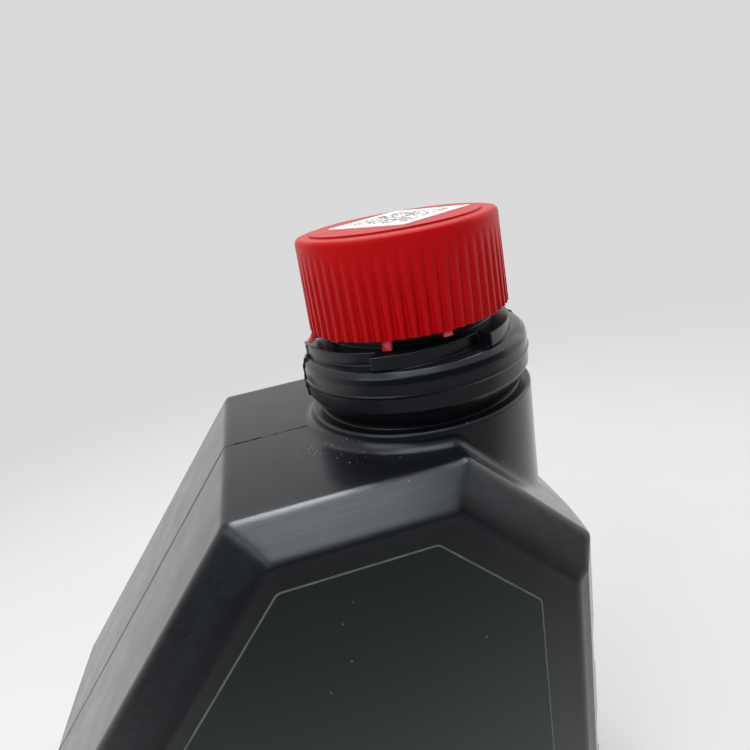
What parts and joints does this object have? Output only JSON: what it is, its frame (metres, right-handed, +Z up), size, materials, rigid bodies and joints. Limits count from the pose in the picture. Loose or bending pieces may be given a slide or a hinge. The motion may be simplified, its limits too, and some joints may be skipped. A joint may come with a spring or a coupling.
{
  "type": "motor oil bottle",
  "caption": "Black blow-moulded oil bottle with an offset neck, sloping shoulders, bevelled front frame, side finger grooves and a red fluted screw cap that turns and rises.",
  "frame": {"origin": "centre of the base's bounding rectangle, on the surface the bottle stands on", "axes": "+Z up along the neck, +X along the width towards the side with the neck, -Y out of the front panel"},
  "size_m": [0.1286, 0.0736, 0.1883],
  "materials": {
    "bottle": "satin blow-moulded polyethylene",
    "cap": "satin moulded polypropylene",
    "cap_liner": "foamed sealing wad",
    "cap_sticker": "smooth printed sticker",
    "front_label": "satin printed film"
  },
  "bodies": {
    "bottle": {"bottle": "bottle", "front_label": "front_label"},
    "liner": {"cap_liner": "cap_liner"},
    "cap": {"cap": "cap", "cap_sticker": "cap_sticker"}
  },
  "joints": [
    {"name": "cap_rise", "type": "slide", "parent": "bottle", "child": "liner", "axis": [0, 0, 1], "range_m": [0, 0.0064]},
    {"name": "cap_turn", "type": "hinge", "parent": "liner", "child": "cap", "pos_m": [0.0367, 0, 0.178], "axis": [0, 0, 1], "range_deg": [0, 540]}
  ],
  "couplings": [
    {"joint": "cap_rise", "follows": "cap_turn", "m_per_rad": 0.00066845}
  ]
}
